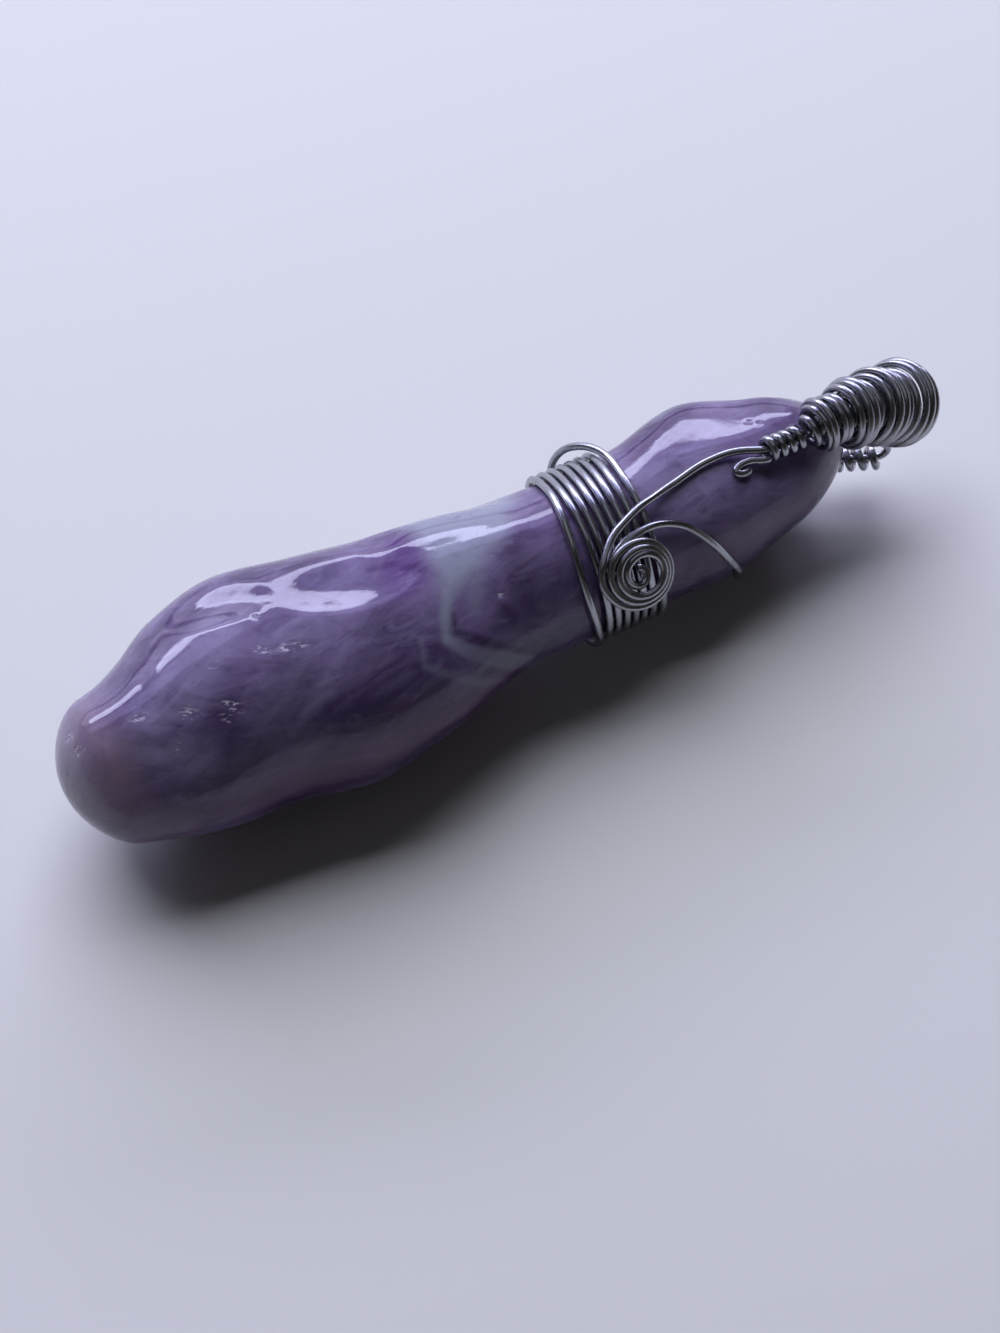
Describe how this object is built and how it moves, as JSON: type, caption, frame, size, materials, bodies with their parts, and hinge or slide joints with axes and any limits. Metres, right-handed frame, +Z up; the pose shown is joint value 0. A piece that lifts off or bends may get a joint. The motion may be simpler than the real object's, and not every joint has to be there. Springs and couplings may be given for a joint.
{
  "type": "wire-wrapped crystal pendant",
  "caption": "Polished purple crystal wand, bound at its waist with wire that curls into a flat spiral and ends in a stack of round loops to hang it by.",
  "frame": {"origin": "centre of the bounding box in plan, on the plane that the pendant lies on", "axes": "+X along the stone towards the loops, +Z up, as the pendant lies on a table with its spiral towards -Y"},
  "size_m": [0.0967, 0.0248, 0.0219],
  "materials": {
    "amethyst": "polished, clear to cloudy, with pale growth bands",
    "wire": "bright drawn wire, gunmetal grey"
  },
  "bodies": {
    "root": {"stone": "amethyst", "waist_binding": "wire", "front_scroll": "wire", "side_arc": "wire", "front_coil": "wire", "back_coil": "wire", "neck_wrap": "wire", "bail_loops": "wire"}
  },
  "joints": []
}
